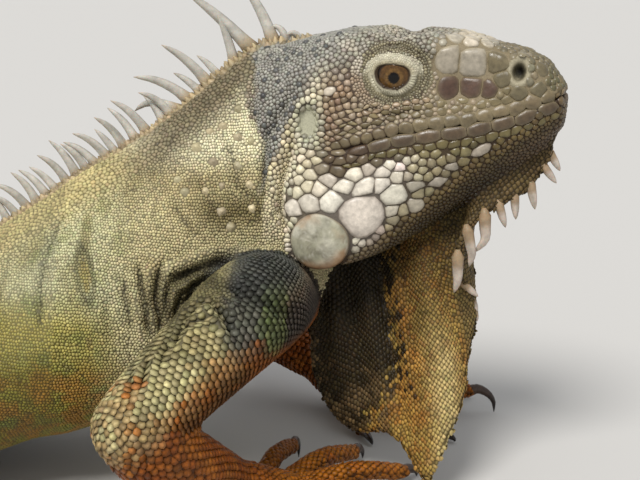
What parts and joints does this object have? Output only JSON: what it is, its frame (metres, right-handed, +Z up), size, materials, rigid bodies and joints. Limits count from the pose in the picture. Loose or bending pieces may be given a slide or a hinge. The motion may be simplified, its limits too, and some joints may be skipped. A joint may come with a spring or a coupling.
{
  "type": "green iguana model",
  "caption": "Life-size still model of an adult male green iguana, belly and tail on the floor, chest and head raised on its forelimbs.",
  "frame": {"origin": "a point on the belly's flat underside, on the floor, in the body's middle plane below the middle of the back", "axes": "+X the way the body faces, +Y the animal's left, +Z up"},
  "size_m": [0.9921, 0.3901, 0.1744],
  "materials": {
    "head_skin": "dry scaled skin, grey-brown and cream",
    "jaw_skin": "dry scaled skin, cream",
    "neck_skin": "fine granular skin, brown-olive",
    "body_skin": "fine granular skin, pale olive",
    "limb_skin": "keeled overlapping scales, tan to orange",
    "tail_skin": "ringed scales, olive with darker bands",
    "dewlap_skin": "thin scaled skin, golden tan with dark spots",
    "eye": "wet gloss, brown iris",
    "eardrum": "smooth thin skin, pale green-grey",
    "shield": "smooth horny plate, pale grey",
    "claw": "dark horn, satin"
  },
  "bodies": {
    "root": {"head": "head_skin", "lower_jaw": "jaw_skin", "neck": "neck_skin", "trunk": "body_skin", "tail_1": "tail_skin", "tail_2": "tail_skin", "tail_3": "tail_skin", "tail_4": "tail_skin", "dewlap": "dewlap_skin", "eye_right": "eye", "eardrum_right": "eardrum", "jowl_shield_right": "shield", "eye_left": "eye", "eardrum_left": "eardrum", "jowl_shield_left": "shield", "right_arm_upper": "limb_skin", "right_arm_fore": "limb_skin", "right_arm_hand": "limb_skin", "right_arm_claw_1": "claw", "right_arm_claw_2": "claw", "right_arm_claw_3": "claw", "right_arm_claw_4": "claw", "right_arm_claw_5": "claw", "left_arm_upper": "limb_skin", "left_arm_fore": "limb_skin", "left_arm_hand": "limb_skin", "left_arm_claw_1": "claw", "left_arm_claw_2": "claw", "left_arm_claw_3": "claw", "left_arm_claw_4": "claw", "left_arm_claw_5": "claw", "right_leg_thigh": "limb_skin", "right_leg_shin": "limb_skin", "right_leg_foot": "limb_skin", "right_leg_claw_1": "claw", "right_leg_claw_2": "claw", "right_leg_claw_3": "claw", "right_leg_claw_4": "claw", "right_leg_claw_5": "claw", "left_leg_thigh": "limb_skin", "left_leg_shin": "limb_skin", "left_leg_foot": "limb_skin", "left_leg_claw_1": "claw", "left_leg_claw_2": "claw", "left_leg_claw_3": "claw", "left_leg_claw_4": "claw", "left_leg_claw_5": "claw"}
  },
  "joints": []
}
